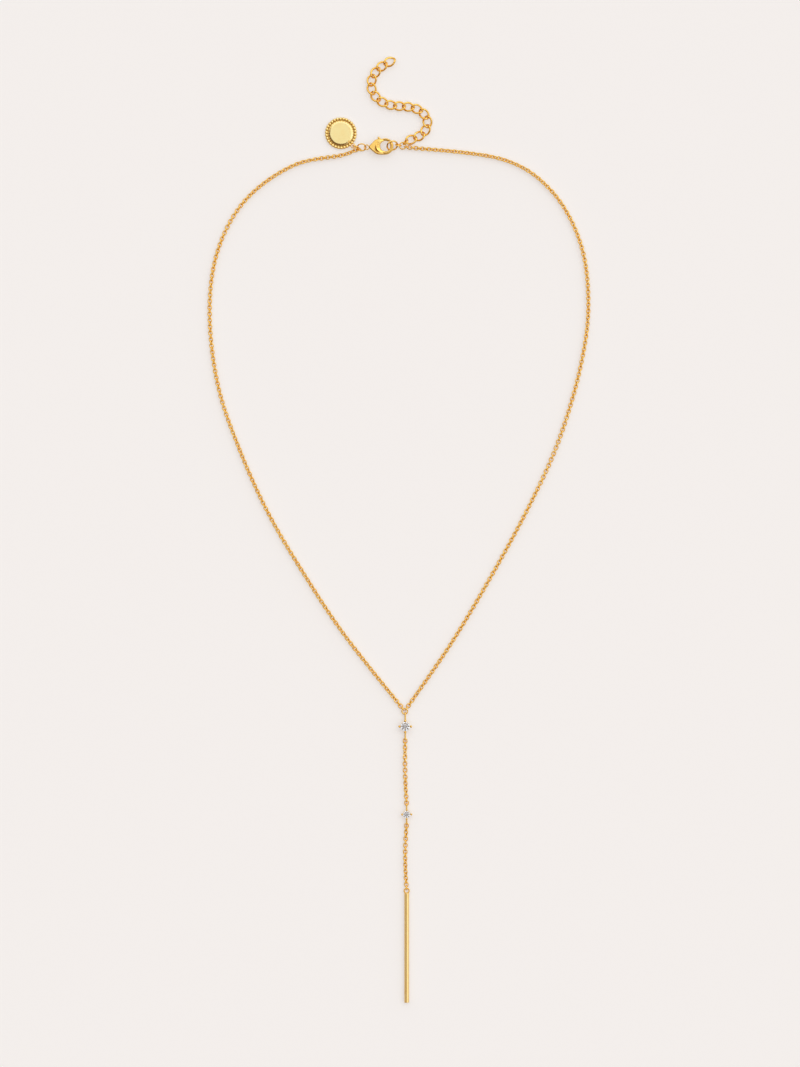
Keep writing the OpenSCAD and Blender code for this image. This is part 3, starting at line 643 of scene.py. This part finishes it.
# The jump rings round the clasp: rings of gold plated wire bent shut, not soldered, so each has a
# hairline slit. They sit in the clasp's tail eye, in the tag's eye, in the clasp's hook, at the
# end of the right side and at the start of the extender.
def ring_axes(turn, tilt):
    """Axes of a ring turned in the plane and then tilted about its own X, in degrees."""
    c, s, ct, st = (cos(radians(turn)), sin(radians(turn)), cos(radians(tilt)), sin(radians(tilt)))
    return np.array([[c, s, 0], [-s * ct, c * ct, st], [s * st, -c * st, ct]])


def jump_ring(across, wire, slit_at, slit=0.05, corners=64, sides=14):
    """Ring in the XY plane with a slit of a given width at an angle in degrees."""
    r = (across - wire) / 2
    # Half of the slit as an angle
    open_half = slit / r / 2
    angle = np.linspace(open_half, 2 * pi - open_half, corners) + radians(slit_at)
    out = np.stack([np.cos(angle), np.sin(angle), 0 * angle], -1)
    turn = (2 * pi * np.arange(sides) / sides)[None, :, None]
    points = r * out[:, None] + wire / 2 * (np.cos(turn) * out[:, None]
                                            + np.sin(turn) * np.array([0, 0, 1.0]))
    faces = [[i * sides + s, (i + 1) * sides + s,
              (i + 1) * sides + (s + 1) % sides, i * sides + (s + 1) % sides]
             for i in range(corners - 1) for s in range(sides)]
    faces.append(list(range(sides)))
    faces.append([(corners - 1) * sides + s for s in reversed(range(sides))])
    return points.reshape(-1, 3), faces


# Each ring's width across, its wire, its turn and tilt, and where its slit is
for ring, across, wire, axes, slit_at in (
        ("clasp_ring", 3.0, 0.38, ring_axes(0, 44), 60),
        ("tag_ring", 2.34, 0.34, ring_axes(-18, 90), 250),
        ("hook_ring", 3.7, 0.46, ring_axes(21, 42), 285),
        ("end_ring", 2.4, 0.38, ring_axes(-10, 16), 290),
        ("extender_ring", 2.3, 0.40, ring_axes(48, -65), 250)):
    make(ring + "_wire", [put(jump_ring(across, wire, slit_at), middle_of(ring), axes)],
         polished_gold, ring)


# The small oval link between the hook ring and the end ring, of the same gold plated wire as
# the chain and soldered shut. It slopes down from the one to the other.
def lie_of(node):
    """Middle of a CAD link in millimetres, and the way that it lies, from left to right."""
    weld = bmesh.new()
    weld.from_mesh(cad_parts[node].data)
    bmesh.ops.remove_doubles(weld, verts=weld.verts, dist=same_point * MM)
    corners = np.array([corner.co for corner in weld.verts]) / MM
    weld.free()
    middle = corners.mean(axis=0)
    # The first of these axes is the one that the corners are spread out along
    along = np.linalg.svd(corners - middle)[2][0]
    return middle, along * np.copysign(1, along[0])


hook_link_length, hook_link_width, hook_link_roll = 2.1, 1.5, 118
hook_link_middle, hook_link_along = lie_of("hook_link")
make("hook_link_wire",
     [put(oval_link(hook_link_length, hook_link_width, link_wire, corners=32, sides=12,
                    fullness=0.7),
          hook_link_middle, link_axes(hook_link_along, hook_link_roll))],
     polished_gold, "hook_link")


# The extender: sixteen curb links of thicker gold plated wire, soldered shut and each twisted a
# quarter turn so that they lie flat one in the next. It lies in an S with its last link loose.
curb_length, curb_width, curb_wire, curb_twist = 4.08, 3.08, 0.58, -90
curb_link = oval_link(curb_length, curb_width, curb_wire, corners=44, sides=14, fullness=0.9,
                      twist=curb_twist)
curb_links = 16
for k in range(1, curb_links + 1):
    node = f"extender_link_{k:02d}"
    middle, along = lie_of(node)
    make(f"curb_link_{k:02d}", [put(curb_link, middle, link_axes(along, 0))],
         polished_gold, node)


# The tag: a round struck disc of paler gold with a rim of beads and a raised flat field, which
# is brushed and left plain. A wire eye is soldered on its edge.
tag_middle = np.array([-17.804, 121.454, 0])
tag_across, rim_thick, field_top, tag_edge = 9.8, 0.52, 0.92, 0.06
bead_across, beads = 0.94, 30
# The disc ends short of the tag's width; the beads stand a little past it and sunk in the rim
disc_short, beads_past, beads_sunk = 0.15, 0.02, 0.02
field_across, slope_width = 6.5, 0.6
tag_eye_turn, tag_eye_across, tag_eye_wire = -46, 1.6, 0.28
tag_eye_middle = (-14.080, 117.597, 0.62)


def brushed_finish():
    """Pale gold: the field brushed, its slope bright, and painted shade on the rim down between the
    beads.
    """
    gold = Mixture(bpy.data.materials.new("brushed_pale_gold"))
    surface = gold.tree.nodes["Principled BSDF"].inputs
    metres = gold.node("ShaderNodeTexCoord", {}, {}, "Object")
    place = gold.node("ShaderNodeVectorMath", {"operation": "SCALE"}, {0: metres, "Scale": 1 / MM})
    brushing = gold.node("ShaderNodeMapping", {}, {
        "Vector": place, "Rotation": (0, 0, radians(35)), "Scale": (0.9, 16.0, 4.0)})
    line = gold.grain(brushing, 1.6, 4.0, 0.65)
    cloud = gold.grain(place, 0.55, 3.0)
    height = gold.node("ShaderNodeSeparateXYZ", {}, {"Vector": place}, "Z")
    pale, paler, rim_painted_shade = (0.99, 0.840, 0.405), (1.0, 0.885, 0.450), (0.66, 0.44, 0.16)
    bare = gold.blend(gold.step(cloud, 0.3, 0.7), pale, paler)
    # Painted shade: the rim and the disc's edge, down between the beads, get a dark colour
    above_rim_painted_shade = gold.step(height, rim_thick + 0.01, rim_thick + 0.08)
    gold.feed(surface["Base Color"], gold.blend(above_rim_painted_shade, rim_painted_shade, bare))
    gold.feed(surface["Metallic"], 1.0)
    slope_polish, field_polish = 0.12, 0.42
    polish = gold.step(height, field_top - 0.08, field_top - 0.02, slope_polish, field_polish)
    gold.feed(surface["Roughness"], polish + 0.20 * line)
    gold.feed(surface["Normal"], gold.node("ShaderNodeBump", {}, {
        "Strength": 0.22, "Distance": 0.02 * MM, "Height": line}))
    return gold.owner


brushed_pale_gold = brushed_finish()
polished_pale_gold = gold_finish(
    "polished_pale_gold", (1.0, 0.82, 0.37), (1.0, 0.76, 0.29), 0.12, 0.30)
disc_r = tag_across / 2 - disc_short
slope_foot = field_across / 2 + slope_width
tag_profile = eased([
    (0, 0), (disc_r, 0), (disc_r, rim_thick), (slope_foot, rim_thick),
    (field_across / 2, field_top), (0, field_top)], tag_edge)
make("tag_disc", [put(turned(tag_profile, 128), tag_middle, flat_axes)],
     brushed_pale_gold, "tag")
bead_r = bead_across / 2
beads_at = tag_across / 2 + beads_past - bead_r
bead_round = [polar(rise, bead_r) for rise in range(-75, 90, 15)]
bead = turned([(0, -bead_r)] + bead_round + [(0, bead_r)], 20)
bead_places = [tag_middle + [*polar(tag_eye_turn + 360 * (k + 0.5) / beads, beads_at),
                             rim_thick - beads_sunk] for k in range(beads)]
make("tag_beads", [put(bead, place, flat_axes) for place in bead_places],
     polished_pale_gold, "tag")
make("tag_eye", [put(round_ring(tag_eye_across, tag_eye_wire), tag_eye_middle, flat_axes)],
     polished_pale_gold, "tag")
